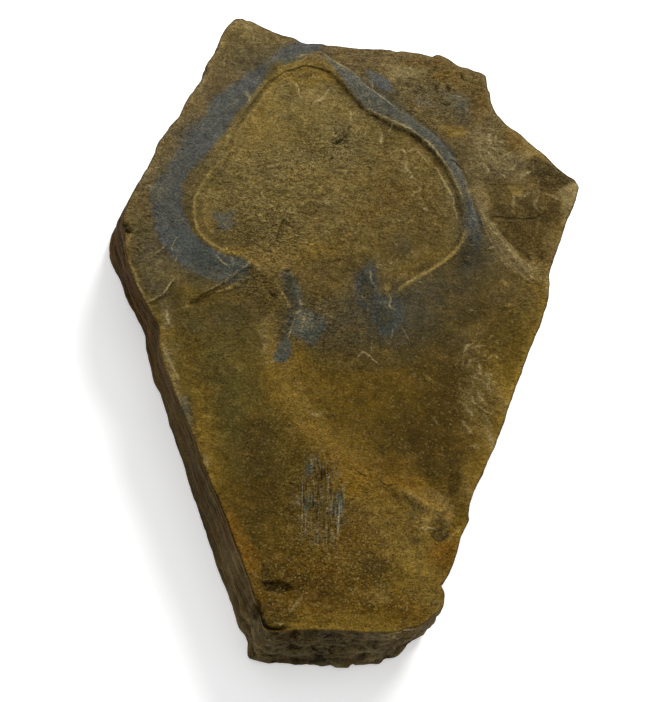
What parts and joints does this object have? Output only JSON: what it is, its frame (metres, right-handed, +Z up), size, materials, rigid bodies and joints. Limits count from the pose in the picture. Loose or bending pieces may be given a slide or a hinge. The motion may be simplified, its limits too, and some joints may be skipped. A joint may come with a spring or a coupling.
{
  "type": "carpoid fossil",
  "caption": "Loose broken slab of iron-stained siltstone, fossil side up, with the heart-shaped impression of a carpoid and its bent tail on its face.",
  "frame": {"origin": "centre of the slab's footprint box, on the surface that it rests on", "axes": "+Z up out of the fossil face, +Y along the slab from the tail towards the blunt end of the theca, +X to the right of the face"},
  "size_m": [0.1052, 0.1442, 0.0251],
  "materials": {
    "siltstone": "matte"
  },
  "bodies": {
    "root": {"fossil_slab": "siltstone"}
  },
  "joints": []
}
